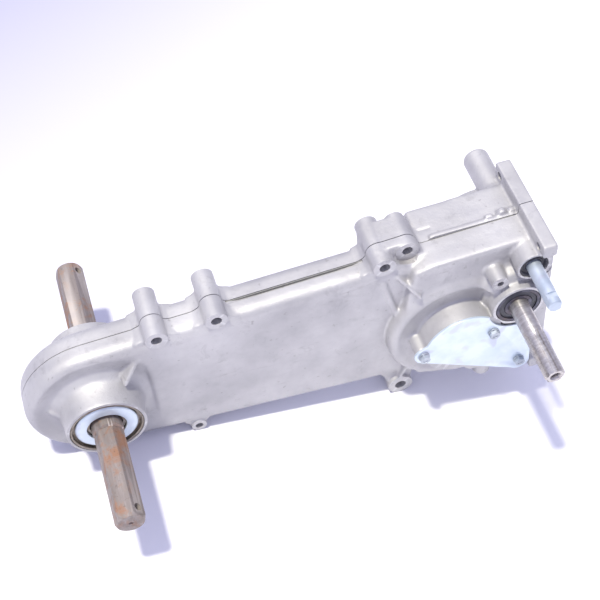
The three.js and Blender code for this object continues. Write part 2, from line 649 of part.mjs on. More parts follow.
function shiftRod() {
  const rod = turned(ROD, [[0, ROD.y0], [ROD.r - 1, ROD.y0], [ROD.r, ROD.y0 + 1],
    [ROD.r, ROD.y1 - 1], [ROD.r - 1, ROD.y1], [0, ROD.y1]], 28);
  const notch = box(ROD.x - 12, ROD.x + 12, ROD.y0 + 7, ROD.y0 + 13, ROD.z + 5.2, ROD.z + 12);
  const flat = box(ROD.x + 5.6, ROD.x + 12, ROD.y0 - 1, ROD.y0 + 18, ROD.z - 12, ROD.z + 12);
  const detents = [0, SHIFT_TRAVEL].map((d) => cylX(72 - d, ROD.z, 1.9, ROD.x - 12, ROD.x - 6.6, 12));
  const pinHole = cylZ(ROD.x, FORK_PIN.y, FORK_PIN.r + GAP, ROD.z - 12, ROD.z + 12, 10);
  return cut(rod, notch, flat, ...detents, pinHole);
}

function shiftFork() {
  const { y0, y1 } = FORK;
  const mouthR = SLEEVE.grooveR + GAP;
  const arm = plateY(polygon([[ROD.x - 8, ROD.z], [ROD.x + 4, ROD.z], [PTO.x + 19, PTO.z + 6],
    [PTO.x + 19, PTO.z - 3], [PTO.x - 19, PTO.z - 3], [PTO.x - 19, PTO.z + 8]]), y0, y1);
  const eye = cylY(ROD, FORK_EYE_R, y0 - 4, y1 + 4, 20);
  const mouth = join(cylY(PTO, mouthR, 0, 90, 24),
    box(PTO.x - mouthR, PTO.x + mouthR, 0, 90, PTO.z - 20, PTO.z));
  const pin = cylZ(ROD.x, FORK_PIN.y, FORK_PIN.r + GAP, ROD.z - 16, ROD.z + 16, 10);
  return cut(join(arm, eye), cylY(ROD, ROD.r + GAP, 0, 90, 20), mouth, pin);
}

function forkPin() {
  return cylZ(ROD.x, FORK_PIN.y, FORK_PIN.r, ROD.z - 11, ROD.z + 10.4, 10);
}

// ---------------------------------------------------------------- cover plate

function coverPlate() {
  const [first] = PLATE_SCREWS;
  const shape = new THREE.Shape();
  const notchR = PTO_BOSS.r + 4.2;
  shape.moveTo(311.5, -30.5);
  shape.lineTo(414, -88.5);
  shape.absarc(424.3, -82, 11.2, 1.32 * Math.PI, 2.06 * Math.PI, false);
  shape.lineTo(433, -9.5);
  const inA = Math.atan2(-9.5 - PTO.z, 433 - PTO.x);
  const inB = Math.atan2(7 - PTO.z, 387 - PTO.x);
  shape.absarc(PTO.x, PTO.z, notchR, inA, inB, true);
  shape.absarc(COUNTER.x, COUNTER.z, COUNTER_BOSS.r + 0.3, 0.92, 2.78, false);
  shape.absarc(first.x, first.z, 9.5, 0.6 * Math.PI, 1.25 * Math.PI, false);
  return cut(plateY(shape, PLATE.y0, PLATE.y1, 0, 9),
    ...PLATE_SCREWS.map((at) => cylY(at, 3 + GAP, -20, 0, 12)));
}

function hexHead(at, af, y0, y1) {
  const corners = [];
  for (let i = 0; i < 6; i += 1) {
    const p = polar(at, af / Math.sqrt(3), 60 * i + 12);
    corners.push([p.x, p.z]);
  }
  return plateY(polygon(corners), y0, y1);
}

function plateScrew(at) {
  return join(hexHead(at, 10, -14, -10.2), cylY(at, 3, -11, 6, 16));
}

function plateWasher(at) {
  return ring(at, 3 + GAP, 6, PLATE.y0 - 1.7, PLATE.y0 - GAP, 16);
}

// ---------------------------------------------------------------- small parts

function drainPlug() {
  const { x, y, z, threadR, socket } = DRAIN;
  const hexagon = new THREE.CylinderGeometry(socket / Math.sqrt(3), socket / Math.sqrt(3), 12, 6);
  hexagon.rotateX(Math.PI / 2);
  hexagon.translate(x, y, z);
  return cut(cylZ(x, y, threadR, z + 2, z + 16, 20), solid(hexagon));
}

function bearing(group, name, at, spec, y0, ringMat) {
  const y1 = y0 + spec.w;
  const depth = spec.od - spec.bore;
  add(group, name + "_inner_ring", ring(at, spec.bore + GAP, spec.bore + depth * 0.32, y0, y1), ringMat);
  add(group, name + "_outer_ring", ring(at, spec.od - depth * 0.28, spec.od, y0, y1), ringMat);
}

function ringX(r0, r1, x0, x1, segments = 18) {
  return turnedX(PART, COUNTER.z, [[r0, x0], [r1, x0], [r1, x1], [r0, x1], [r0, x0]], segments);
}

// ---------------------------------------------------------------- assembly

const CAST = { color: 0xb4b6ba, roughness: 0.55, metalness: 0.75 };
const ZINC = { color: 0xc9d3dc, roughness: 0.3, metalness: 0.85 };
const STEEL = { color: 0x9a9690, roughness: 0.35, metalness: 0.9 };
const FORGED = { color: 0x6e5f58, roughness: 0.6, metalness: 0.7 };
const GEAR = { color: 0x7f8286, roughness: 0.4, metalness: 0.9 };
const RUBBER = { color: 0x1f2126, roughness: 0.8, metalness: 0 };
const PAPER = { color: 0x4a4c46, roughness: 0.9, metalness: 0 };

function add(group, name, made, look) {
  const mesh = made.getMesh();
  const step = mesh.numProp;
  const position = new Float32Array(mesh.numVert * 3);
  for (let i = 0; i < mesh.numVert; i += 1) {
    position.set(mesh.vertProperties.subarray(i * step, i * step + 3), i * 3);
  }
  const geometry = new THREE.BufferGeometry();
  geometry.setAttribute("position", new THREE.BufferAttribute(position, 3));
  geometry.setIndex(new THREE.BufferAttribute(mesh.triVerts, 1));
  geometry.computeVertexNormals();
  const node = new THREE.Mesh(geometry, new THREE.MeshStandardMaterial(look));
  node.name = name;
  group.add(node);
}

const gearbox = new THREE.Group();
gearbox.name = "gearbox";

add(gearbox, "near_case_half", caseHalf(-1, nearOutside(), nearBores()), CAST);
add(gearbox, "far_case_half", caseHalf(1, farOutside(), farBores()), CAST);
add(gearbox, "case_gasket", gasket(), PAPER);
DOWELS.forEach((pin, i) => add(gearbox, "dowel_pin_" + (i + 1), cylY(pin, pin.r, 42.6, 57.4, 16), STEEL));

add(gearbox, "hex_output_shaft", hexShaft(), FORGED);
bearing(gearbox, "hex_bearing_near", HEX_AXIS, HUB_BEARING, 9, STEEL);
bearing(gearbox, "hex_bearing_far", HEX_AXIS, HUB_BEARING, 74, STEEL);
add(gearbox, "hex_seal_near", hubSeal(-1), RUBBER);
add(gearbox, "hex_seal_far", hubSeal(1), RUBBER);
add(gearbox, "dust_disc_near", dustDisc(-1), ZINC);
add(gearbox, "dust_disc_far", dustDisc(1), ZINC);
add(gearbox, "driven_sprocket", sprocket(CHAIN.driven, HEX_AXIS, 27, HEX.journalR + GAP, 56), GEAR);
add(gearbox, "drive_chain", driveChain(), GEAR);

add(gearbox, "countershaft", counterShaft(), STEEL);
add(gearbox, "drive_sprocket", sprocket(CHAIN.drive, COUNTER, 16.1, COUNTER_BEARING.bore + GAP, 59), GEAR);
add(gearbox, "counter_gear", counterGear(), GEAR);
add(gearbox, "crown_bevel_gear", crownGear(), GEAR);
bearing(gearbox, "counter_bearing_near", COUNTER, COUNTER_BEARING, -1.8, STEEL);
bearing(gearbox, "counter_bearing_far", COUNTER, COUNTER_BEARING, 82.8, STEEL);

add(gearbox, "bevel_pinion_shaft", inputPinion(), STEEL);
[["inner", 411.6], ["outer", 426.4]].forEach(([place, x0]) => {
  add(gearbox, "input_bearing_" + place + "_inner_ring", ringX(12.5 + GAP, 16.8, x0, x0 + 14), STEEL);
  add(gearbox, "input_bearing_" + place + "_outer_ring", ringX(21.8, 26, x0, x0 + 14), STEEL);
});
add(gearbox, "input_oil_seal", ringX(11 + GAP, 20 - GAP, 442.4, 449.5), RUBBER);

add(gearbox, "splined_output_shaft", ptoShaft(), STEEL);
bearing(gearbox, "spline_bearing_near", PTO, PTO_BEARING, -7.8, STEEL);
bearing(gearbox, "spline_bearing_far", PTO, PTO_BEARING, 87, STEEL);
add(gearbox, "spline_bearing_seal", ring(PTO, 14.7, 19.4, -6.8, -5.6, 28), RUBBER);
add(gearbox, "spline_drive_gear", ptoGear(), GEAR);
add(gearbox, "shift_sleeve", shiftSleeve(), GEAR);

add(gearbox, "shift_rod", shiftRod(), ZINC);
add(gearbox, "shift_fork", shiftFork(), FORGED);
add(gearbox, "shift_fork_pin", forkPin(), STEEL);
add(gearbox, "shift_rod_seal", ring(ROD, ROD.r + GAP, 14.5, -2, 3.6, 24), RUBBER);

add(gearbox, "cover_plate", coverPlate(), ZINC);
PLATE_SCREWS.forEach((at, i) => {
  add(gearbox, "plate_screw_" + (i + 1), plateScrew(at), ZINC);
  add(gearbox, "plate_washer_" + (i + 1), plateWasher(at), ZINC);
});
add(gearbox, "drain_plug", drainPlug(), ZINC);

gearbox.position.set(-FLANGE.x1, -PART, -COUNTER.z);

export default gearbox;
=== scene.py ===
"""A long die-cast gear case with its shafts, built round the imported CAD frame.

Lengths are millimetres in the case frame until a piece is finished: x runs along the case from the
hex shaft, t across it from the split (near side negative) and z up from the hex shaft. A side is
-1 for the near half and 1 for the far half.
"""
import json
import math
from collections import namedtuple

import bmesh
import bpy
from mathutils import Matrix, Vector


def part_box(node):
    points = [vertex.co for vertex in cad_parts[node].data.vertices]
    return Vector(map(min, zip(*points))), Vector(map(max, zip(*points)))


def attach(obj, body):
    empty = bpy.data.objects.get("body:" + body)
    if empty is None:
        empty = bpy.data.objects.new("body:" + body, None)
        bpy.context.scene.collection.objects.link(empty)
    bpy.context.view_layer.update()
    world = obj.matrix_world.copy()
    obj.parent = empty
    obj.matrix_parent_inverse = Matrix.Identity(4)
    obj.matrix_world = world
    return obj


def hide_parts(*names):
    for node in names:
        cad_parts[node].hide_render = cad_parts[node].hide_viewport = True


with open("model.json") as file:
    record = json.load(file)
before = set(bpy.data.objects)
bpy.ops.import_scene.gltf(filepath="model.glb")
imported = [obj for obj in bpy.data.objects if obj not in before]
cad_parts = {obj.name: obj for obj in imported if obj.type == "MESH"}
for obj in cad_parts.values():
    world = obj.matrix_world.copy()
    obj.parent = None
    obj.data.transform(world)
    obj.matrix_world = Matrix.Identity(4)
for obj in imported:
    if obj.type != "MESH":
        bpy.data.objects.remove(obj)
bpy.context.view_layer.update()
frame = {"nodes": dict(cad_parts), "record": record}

SCENE = bpy.context.scene
MM = 0.001


def node_box(node):
    low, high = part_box(node)
    return low / MM, high / MM


def node_centre(node):
    low, high = node_box(node)
    return (low + high) / 2


ORIGIN = Vector((
    node_centre("hex_bearing_near_inner_ring").x,
    node_centre("case_gasket").y,
    node_centre("hex_bearing_near_inner_ring").z,
))


def axis_of(node):
    spot = node_centre(node) - ORIGIN
    return spot.x, spot.z


def reach_of(node):
    low, high = node_box(node)
    return low.y - ORIGIN.y, high.y - ORIGIN.y


HEX = (0.0, 0.0)
COUNTER = axis_of("countershaft")
PTO = axis_of("spline_bearing_near_inner_ring")
ROD = axis_of("shift_rod_seal")
CASE_HIGH = node_box("far_case_half")[1] - ORIGIN
SCREWS = [axis_of(f"plate_screw_{i}") for i in (1, 2, 3)]
PLATE_T = reach_of("cover_plate")
HEX_T = reach_of("hex_output_shaft")
SPLINE_T = reach_of("splined_output_shaft")
ROD_T = reach_of("shift_rod")
DRAIN = axis_of("drain_plug")
DRAIN_T = sum(reach_of("drain_plug")) / 2

# The slim case, the gear block at its drive end, and the lines of the top and bottom edges.
CASE_HALF = 22.0
BLOCK_REACH = {-1: 34.0, 1: 44.0}
CASE_END_R = 72.0
WALL = 7.0
TOP_Z0, TOP_SLOPE = 71.5, 0.03
LOW_X, LOW_Z0, LOW_Z1 = 300.0, -72.0, -98.0
BLOCK_X0 = 335.0
FLANGE_X1 = CASE_HIGH.x
FLANGE_X0 = FLANGE_X1 - 15.0

# The half of the gasket's gap that each side gives up, and the metal left on a face for facing.
SPLIT_GAP = 0.45
LEFT_ON = 2.0

# Round bosses: radius and the reach of the faced end.
HUB_R, HUB_FACE = 39.5, 50
PTO_BOSS_R, PTO_FACE = 26.8, 58
ROD_BOSS_R, ROD_FACE = 17, 53
TAP, TAP_R, TAP_FACE = (398, 53.7), 8.5, 53

# Bores and holes.
HUB_BORE_R = 36.3
COUNTER_BORE_R = 26.3
INPUT_BORE_R = 26.3
PTO_BORE_R = 23.8
SCREW_HOLE_R = 3.3

Boss = namedtuple("Boss", "at radius hole near far")

# Through bosses; near and far are the reach to each side.
BOSSES = [
    Boss((67.0, 77.6), 11.0, 5.3, 24.0, 34.0),
    Boss((125.4, 81.6), 11.0, 5.3, 24.0, 33.0),
    Boss((291.5, 88.5), 11.5, 5.5, 23.0, 35.0),
    Boss((318.0, 90.5), 10.5, 5.3, 12.0, 30.0),
    Boss((87.0, -84.0), 8.0, 4.1, 22.0, 22.0),
    Boss((305.0, -114.0), 13.4, 6.0, 24.5, 26.0),
]


# ------------------------------------------------------------------ solids in millimetres

ON_AXIS = 1e-6


def to_object(bm, name="solid"):
    bmesh.ops.recalc_face_normals(bm, faces=bm.faces)
    mesh = bpy.data.meshes.new(name)
    bm.to_mesh(mesh)
    bm.free()
    made = bpy.data.objects.new(name, mesh)
    SCENE.collection.objects.link(made)
    return made


def lathe(profile, at, steps):
    """A turned solid about the t axis; the profile is (radius, t)."""
    bm = bmesh.new()
    turns = [2 * math.pi * k / steps for k in range(steps)]
    rows = []
    for radius, t in profile:
        if radius < ON_AXIS:
            rows.append([bm.verts.new((at[0], t, at[1]))])
        else:
            rows.append([
                bm.verts.new((at[0] + radius * math.cos(a), t, at[1] + radius * math.sin(a)))
                for a in turns
            ])
    pairs = list(zip(rows, rows[1:]))
    if profile[0][0] > ON_AXIS:
        pairs.append((rows[-1], rows[0]))
    for first, second in pairs:
        for k in range(steps):
            j = (k + 1) % steps
            ring = [first[k % len(first)], first[j % len(first)]]
            ring += [second[j % len(second)], second[k % len(second)]]
            corners = list(dict.fromkeys(ring))
            if len(corners) > 2:
                bm.faces.new(corners)
    return to_object(bm)


def loft(sections):
    """A closed solid through rings of points, with a flat cap at each end."""
    bm = bmesh.new()
    rings = [[bm.verts.new(point) for point in section] for section in sections]
    count = len(rings[0])
    for first, second in zip(rings, rings[1:]):
        for k in range(count):
            j = (k + 1) % count
            bm.faces.new((first[k], first[j], second[j], second[k]))
    bm.faces.new(rings[0])
    bm.faces.new(rings[-1])
    return to_object(bm)


def prism(outline, t0, t1):
    return loft([[(x, t, z) for x, z in outline] for t in (t0, t1)])


def drum(at, radius, t0, t1, steps=72, ease=0.0):
    if not ease:
        return lathe([(0, t0), (radius, t0), (radius, t1), (0, t1)], at, steps)
    return lathe([(0, t0), (radius - ease, t0), (radius, t0 + ease), (radius, t1 - ease),
                  (radius - ease, t1), (0, t1)], at, steps)


def turn_about(made, angle, axis):
    made.data.transform(Matrix.Rotation(angle, 4, axis))
    return made


def shift(made, x, t, z):
    made.data.transform(Matrix.Translation((x, t, z)))
    return made


def drum_x(t, z, radius, x0, x1, steps=48):
    rod = drum(HEX, radius, x0, x1, steps)
    return shift(turn_about(rod, -math.pi / 2, "Z"), 0, t, z)


def drum_z(x, t, radius, z0, z1, steps=48):
    rod = drum(HEX, radius, z0, z1, steps)
    return shift(turn_about(rod, math.pi / 2, "X"), x, t, 0)


def block(x0, x1, t0, t1, z0, z1):
    return prism([(x0, z0), (x1, z0), (x1, z1), (x0, z1)], t0, t1)


def arc(at, radius, start, end, steps):
    """Points on an arc, with its angles in degrees."""
    angles = [math.radians(start + (end - start) * k / steps) for k in range(steps + 1)]
    return [(at[0] + radius * math.cos(a), at[1] + radius * math.sin(a)) for a in angles]


def eased(outline, radius, steps=4):
    """A closed outline with each corner rounded."""
    made = []
    points = [Vector(p) for p in outline]
    for k, corner in enumerate(points):
        before, after = points[k - 1] - corner, points[(k + 1) % len(points)] - corner
        reach = min(radius, before.length / 2.2, after.length / 2.2)
        a, b = corner + before.normalized() * reach, corner + after.normalized() * reach
        for i in range(steps + 1):
            u = i / steps
            made.append(tuple(a * (1 - u) ** 2 + corner * 2 * u * (1 - u) + b * u ** 2))
    return made


# ------------------------------------------------------------------ joining, cutting, softening

def settle(made):
    """Turns the object's modifiers into its mesh."""
    graph = bpy.context.evaluated_depsgraph_get()
    mesh = bpy.data.meshes.new_from_object(made.evaluated_get(graph))
    made.modifiers.clear()
    old = made.data
    made.data = mesh
    bpy.data.meshes.remove(old)
    return made


def drop(made):
    mesh = made.data
    bpy.data.objects.remove(made)
    bpy.data.meshes.remove(mesh)


def combine(target, operation, tools):
    for tool in tools:
        step = target.modifiers.new("join", "BOOLEAN")
        step.operation = operation
        step.solver = "MANIFOLD"
        step.object = tool
    settle(target)
    for tool in tools:
        drop(tool)
    return target


def cut(target, *tools):
    return combine(target, "DIFFERENCE", tools)


def common(target, *tools):
    return combine(target, "INTERSECT", tools)


def join(target, *tools):
    return combine(target, "UNION", tools)


def fuse(pieces, voxel, smooth):
    """Pours the pieces into one skin, with its corners and creases softened as a casting's are."""
    bm = bmesh.new()
    for piece in pieces:
        bm.from_mesh(piece.data)
        drop(piece)
    made = to_object(bm)
    skin = made.modifiers.new("skin", "REMESH")
    skin.mode = "VOXEL"
    skin.voxel_size = voxel
    if smooth:
        soften = made.modifiers.new("soften", "SMOOTH")
        soften.factor = 0.5
        soften.iterations = smooth
    return settle(made)


# ------------------------------------------------------------------ materials

class Nodes:
    """Short ways to add shader nodes to one material."""

    def __init__(self, name):
        self.material = bpy.data.materials.new(name)
        self.material.use_nodes = True
        self.tree = self.material.node_tree
        self.shader = self.tree.nodes["Principled BSDF"]
        self.place = self.tree.nodes.new("ShaderNodeTexCoord").outputs["Object"]
        self.bumps = None

    def put(self, socket, value):
        if isinstance(value, bpy.types.NodeSocket):
            self.tree.links.new(value, socket)
        else:
            socket.default_value = value

    def stretched(self, scale):
        node = self.tree.nodes.new("ShaderNodeMapping")
        self.put(node.inputs["Vector"], self.place)
        node.inputs["Scale"].default_value = scale
        return node.outputs["Vector"]

    def noise(self, scale, detail, roughness=0.55, vector=None, distortion=0.0):
        node = self.tree.nodes.new("ShaderNodeTexNoise")
        self.put(node.inputs["Vector"], vector or self.place)
        node.inputs["Scale"].default_value = scale
        node.inputs["Detail"].default_value = detail
        node.inputs["Roughness"].default_value = roughness
        node.inputs["Distortion"].default_value = distortion
        return node.outputs["Fac"]

    def ramp(self, value, *stops):
        """Stops are (position, grey or colour)."""
        node = self.tree.nodes.new("ShaderNodeValToRGB")
        self.put(node.inputs["Fac"], value)
        stop_list = node.color_ramp.elements
        while len(stop_list) < len(stops):
            stop_list.new(1.0)
        for stop, (position, tone) in zip(stop_list, stops):
            stop.position = position
            stop.color = (tone, tone, tone, 1) if isinstance(tone, (int, float)) else (*tone, 1)
        return node.outputs["Color"]

    def mix(self, share, first, second):
        node = self.tree.nodes.new("ShaderNodeMix")
        node.data_type = "RGBA"
        self.put(node.inputs["Factor"], share)
        for socket, value in ((node.inputs[6], first), (node.inputs[7], second)):
            self.put(socket, value if isinstance(value, bpy.types.NodeSocket) else (*value, 1))
        return node.outputs[2]

    def add_bump(self, height, strength, distance):
        node = self.tree.nodes.new("ShaderNodeBump")
        self.put(node.inputs["Height"], height)
        node.inputs["Strength"].default_value = strength
        node.inputs["Distance"].default_value = distance
        if self.bumps:
            self.put(node.inputs["Normal"], self.bumps)
        self.bumps = node.outputs["Normal"]

    def pointiness(self, *stops):
        geometry = self.tree.nodes.new("ShaderNodeNewGeometry")
        return self.ramp(geometry.outputs["Pointiness"], *stops)

    def painted_edge_highlights(self, low, high, most):
        """A mask that rises on the convex edges, for painting highlights there."""
        return self.pointiness((low, 0.0), (high, most))

    def creases(self, low, high, most):
        """A mask that rises in the hollows, for painting shade and grime there."""
        return self.pointiness((low, most), (high, 0.0))

    def done(self, colour, roughness, metallic):
        self.put(self.shader.inputs["Base Color"], colour)
        self.put(self.shader.inputs["Roughness"], roughness)
        self.shader.inputs["Metallic"].default_value = metallic
        if self.bumps:
            self.put(self.shader.inputs["Normal"], self.bumps)
        return self.material


def cast_aluminium():
    n = Nodes("cast_aluminium")
    cloud = n.noise(16, 6, 0.6)
    tone = n.ramp(cloud, (0.3, (0.40, 0.395, 0.415)), (0.7, (0.55, 0.545, 0.56)))
    blot = n.noise(42, 8, 0.7, distortion=0.6)
    tone = n.mix(n.ramp(blot, (0.57, 0.0), (0.72, 0.5)), tone, (0.29, 0.285, 0.30))
    scuff = n.noise(9, 10, 0.75, vector=n.stretched((1.0, 1.0, 3.5)), distortion=1.2)
    tone = n.mix(n.ramp(scuff, (0.60, 0.0), (0.70, 0.55)), tone, (0.31, 0.30, 0.31))
    speck = n.noise(190, 3, 0.5)
    tone = n.mix(n.ramp(speck, (0.68, 0.0), (0.74, 0.5)), tone, (0.26, 0.25, 0.25))
    # Painted highlight: the convex edges are lightened to a pale grey.
    tone = n.mix(n.painted_edge_highlights(0.54, 0.64, 0.5), tone, (0.72, 0.72, 0.73))
    # The hollows are darkened to a warm dark grey: painted shade, warmed with the grime that
    # gathers there.
    tone = n.mix(n.creases(0.40, 0.49, 0.45), tone, (0.30, 0.28, 0.28))
    n.add_bump(n.noise(1500, 3, 0.6), 0.45, 0.0003)
    n.add_bump(n.noise(260, 5, 0.65), 0.40, 0.0007)
    n.add_bump(cloud, 0.12, 0.004)
    gloss = n.ramp(n.noise(70, 5), (0.3, 0.46), (0.7, 0.62))
    return n.done(tone, gloss, 0.5)


def drawn_steel():
    """Black bar worn to brown-grey, with patches of rust and a painted highlight along its edges.
    """
    n = Nodes("drawn_steel")
    streak = n.noise(140, 6, 0.6, vector=n.stretched((1.0, 0.09, 1.0)))
    tone = n.ramp(streak, (0.3, (0.17, 0.145, 0.135)), (0.55, (0.255, 0.22, 0.21)),
                  (0.75, (0.36, 0.325, 0.315)))
    rust = n.noise(46, 9, 0.72, distortion=0.7)
    tone = n.mix(n.ramp(rust, (0.50, 0.0), (0.64, 0.75)), tone, (0.33, 0.16, 0.085))
    fleck = n.noise(320, 4, 0.6)
    tone = n.mix(n.ramp(fleck, (0.60, 0.0), (0.70, 0.45)), tone, (0.10, 0.06, 0.045))
    # Painted highlight: the convex edges of the bar are lightened to a pale brown-grey.
    tone = n.mix(n.painted_edge_highlights(0.53, 0.60, 0.8), tone, (0.62, 0.56, 0.52))
    n.add_bump(fleck, 0.35, 0.0004)
    n.add_bump(streak, 0.25, 0.0005)
    gloss = n.ramp(rust, (0.45, 0.46), (0.66, 0.78))
    return n.done(tone, gloss, 0.38)


def ground_steel(name="ground_steel", tones=((0.36, 0.33, 0.31), (0.62, 0.59, 0.57)), gloss=0.3,
                 stained=0.4):
    n = Nodes(name)
    lines = n.noise(500, 3, 0.5, vector=n.stretched((0.3, 1.0, 0.3)))
    stain = n.noise(60, 6, 0.65)
    tone = n.ramp(lines, (0.3, tones[0]), (0.7, tones[1]))
    tone = n.mix(n.ramp(stain, (0.5, 0.0), (0.75, stained)), tone, (0.30, 0.22, 0.17))
    n.add_bump(lines, 0.12, 0.0002)
    return n.done(tone, n.ramp(stain, (0.4, gloss), (0.7, gloss + 0.16)), 0.9)


def zinc_plate(name="zinc_plate", tones=((0.58, 0.67, 0.77), (0.67, 0.75, 0.84))):
    """Bright zinc with the faint cloudy prints of handling."""
    n = Nodes(name)
    cloud = n.noise(55, 3, 0.5)
    tone = n.ramp(cloud, (0.35, tones[0]), (0.6, tones[1]))
    prints = n.noise(48, 2, 0.4, distortion=0.3)
    tone = n.mix(n.ramp(prints, (0.60, 0.0), (0.68, 0.5)), tone, (0.50, 0.50, 0.60))
    n.add_bump(n.noise(700, 3), 0.08, 0.0002)
    return n.done(tone, n.ramp(cloud, (0.3, 0.34), (0.7, 0.46)), 0.55)


def black_rubber():
    n = Nodes("black_rubber")
    dust = n.noise(120, 6, 0.7)
    tone = n.ramp(dust, (0.35, (0.022, 0.024, 0.035)), (0.75, (0.07, 0.07, 0.09)))
    n.add_bump(n.noise(900, 3), 0.15, 0.0002)
    return n.done(tone, n.ramp(dust, (0.4, 0.42), (0.7, 0.62)), 0.0)


def gasket_paper():
    n = Nodes("gasket_paper")
    fibre = n.noise(700, 5, 0.6)
    tone = n.ramp(fibre, (0.3, (0.20, 0.20, 0.19)), (0.7, (0.34, 0.34, 0.32)))
    n.add_bump(fibre, 0.3, 0.0003)
    return n.done(tone, 0.85, 0.0)


CAST = cast_aluminium()
DRAWN = drawn_steel()
GROUND = ground_steel()
SEAL_STEEL = ground_steel("seal_steel", ((0.20, 0.17, 0.14), (0.38, 0.34, 0.30)), 0.34)
GEAR_STEEL = ground_steel("gear_steel", ((0.20, 0.205, 0.21), (0.38, 0.385, 0.39)), 0.38)
SPLINE_STEEL = ground_steel("spline_steel", ((0.40, 0.375, 0.375), (0.62, 0.60, 0.60)), 0.3, 0.2)
BEARING_STEEL = ground_steel("bearing_steel", ((0.05, 0.05, 0.07), (0.13, 0.13, 0.17)), 0.4)
ZINC = zinc_plate()
# A darker copy of the zinc for the rod: painted shade, as the rod's surface turns from the light.
SHADED_ROD_ZINC = zinc_plate("rod_zinc_shaded", ((0.44, 0.51, 0.61), (0.56, 0.62, 0.71)))
SCREW_ZINC = zinc_plate("screw_zinc", ((0.34, 0.38, 0.44), (0.48, 0.52, 0.57)))
RUBBER = black_rubber()
PAPER = gasket_paper()


# ------------------------------------------------------------------ finishing a piece

CREASE = math.radians(32)


def finish(made, name, nodes, body, look, crease=CREASE):
    """Moves the piece from the case frame to the part's frame and hands it to its body."""
    made.name = name
    made.data.name = name
    made.data.transform(Matrix.Scale(MM, 4) @ Matrix.Translation(ORIGIN))
    made.data.materials.clear()
    made.data.materials.append(look)
    made.data.shade_smooth()
    made.data.set_sharp_from_angle(angle=crease)
    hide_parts(*nodes)
    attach(made, body)
    return made


# ------------------------------------------------------------------ the cast case

def top_at(x):
    return TOP_Z0 + TOP_SLOPE * x


def case_outline(inset, x_end=FLANGE_X0 + 2):
    top_lean = math.degrees(math.atan(TOP_SLOPE))
    low_lean = math.degrees(math.atan2(LOW_Z1 - LOW_Z0, LOW_X))
    end = arc((-1.0, 0.0), CASE_END_R - inset, 90 + top_lean, 270 + low_lean, 48)
    return [(x_end, top_at(x_end) - inset), *end, (LOW_X, LOW_Z1 + inset), (x_end, LOW_Z1 + inset)]


def block_outline(inset=0.0):
    right = FLANGE_X0 + 2 - 0.6 * inset
    return [
        (BLOCK_X0 + inset, top_at(BLOCK_X0) - inset), (BLOCK_X0 + inset - 22, 40),
        (BLOCK_X0 + inset - 26, -40), (BLOCK_X0 + inset - 6, LOW_Z1 + 12 + inset),
        (right, LOW_Z1 + 4 + inset), (right, top_at(FLANGE_X0) - inset),
    ]


def span(side, a, b):
    return min(side * a, side * b), max(side * a, side * b)


def hub(side):
    profile = [(0, 12), (51, 12), (51, 19.5), (47.5, 20.5), (44, 22.5), (42, 26), (41, 31),
               (40.2, 36), (39.8, 42), (HUB_R, HUB_FACE + LEFT_ON), (0, HUB_FACE + LEFT_ON)]
    return lathe([(r, side * t) for r, t in profile], HEX, 120)


def edge_at(x, up):
    """Height of the case's top or bottom edge."""
    if up > 0:
        return top_at(x)
    return LOW_Z0 + (LOW_Z1 - LOW_Z0) * min(x / LOW_X, 1.0)


def reach_to(spot, side):
    return spot.near if side < 0 else spot.far


def boss(spot, side):
    """A through boss, left a little long for facing, in a web that sweeps up from the case."""
    x, z = spot.at
    radius, reach = spot.radius, reach_to(spot, side)
    up = math.copysign(1, z)
    edge = edge_at(x, up)
    flare = 11 if up > 0 else 6
    shaft = drum((x, z), radius, *span(side, -6, reach + LEFT_ON), 72)
    half = [(radius + flare, edge - up), (radius + flare * 0.4, edge + up * 1.6),
            (radius - 0.2, edge + (z - edge) * 0.75), (radius - 1.4, z)]
    outline = [(x - w, h) for w, h in half] + [(x + w, h) for w, h in reversed(half)]
    outline += [(x + radius, edge - up * 14), (x - radius, edge - up * 14)]
    web = prism(outline, *span(side, -6, min(reach, CASE_HALF) - 2.5))
    return [shaft, web]


def rear_pad(side):
    outline = eased([(279, 68), (279.5, 92), (284, 99), (322, 101), (329, 95), (336, 74)], 4)
    return prism(outline, *span(side, -6, 11 if side < 0 else 27))


def flange(side):
    half, ear, step = 60, 15, 6
    top, low = 98, -98
    outline = [(-6, top), (half, top), (half, top - ear), (half - step, top - ear - 3),
               (half - step, low + ear + 3), (half, low + ear), (half, low), (-6, low)]
    sections = []
    for x in (FLANGE_X0, FLANGE_X1):
        sections.append([(x, side * t, z) for t, z in eased(outline, 3.0)])
    return loft(sections)


def hollow(side):
    """The room inside one half, with the bores that open from it."""
    slim = prism(case_outline(WALL, FLANGE_X0 - 4), *span(side, -8, CASE_HALF - 6))
    wide = prism(block_outline(WALL + 1), *span(side, -8, BLOCK_REACH[side] - 9))
    room = join(slim, wide, drum(HEX, 30, *span(side, 10, 50)))
    return cut(room, drum_x(0, COUNTER[1], 31.5, 411, FLANGE_X0))


def room_inside():
    """Where the shift sleeve, the fork and the rod move, on both sides of the split."""
    return [
        drum(PTO, 15.4, -30.2, 18),
        drum(ROD, 7.8, -55, 96),
        block(399, ROD[0] + 12.6, -23, 5, PTO[1] - 4.5, ROD[1] + 12.2),
    ]


def shared_cuts(side):
    cuts = [
        hollow(side),
        drum(HEX, HUB_BORE_R, *span(side, 24, 51), 120),
        drum_x(0, COUNTER[1], INPUT_BORE_R, 411, 441),
        drum_x(0, COUNTER[1], 20, 440, 460),
        drum_x(0, COUNTER[1], 24, 400, 412),
    ]
    for spot in BOSSES:
        cuts.append(drum(spot.at, spot.hole, *span(side, -8, 60), 40))
    for z in (89, -87):
        cuts.append(drum_x(side * 48, z, 4.5, 420, 460))
    for dowel in ("dowel_pin_1", "dowel_pin_2"):
        cuts.append(drum(axis_of(dowel), 3.3, *span(side, -8, 8), 32))
    return cuts + room_inside()


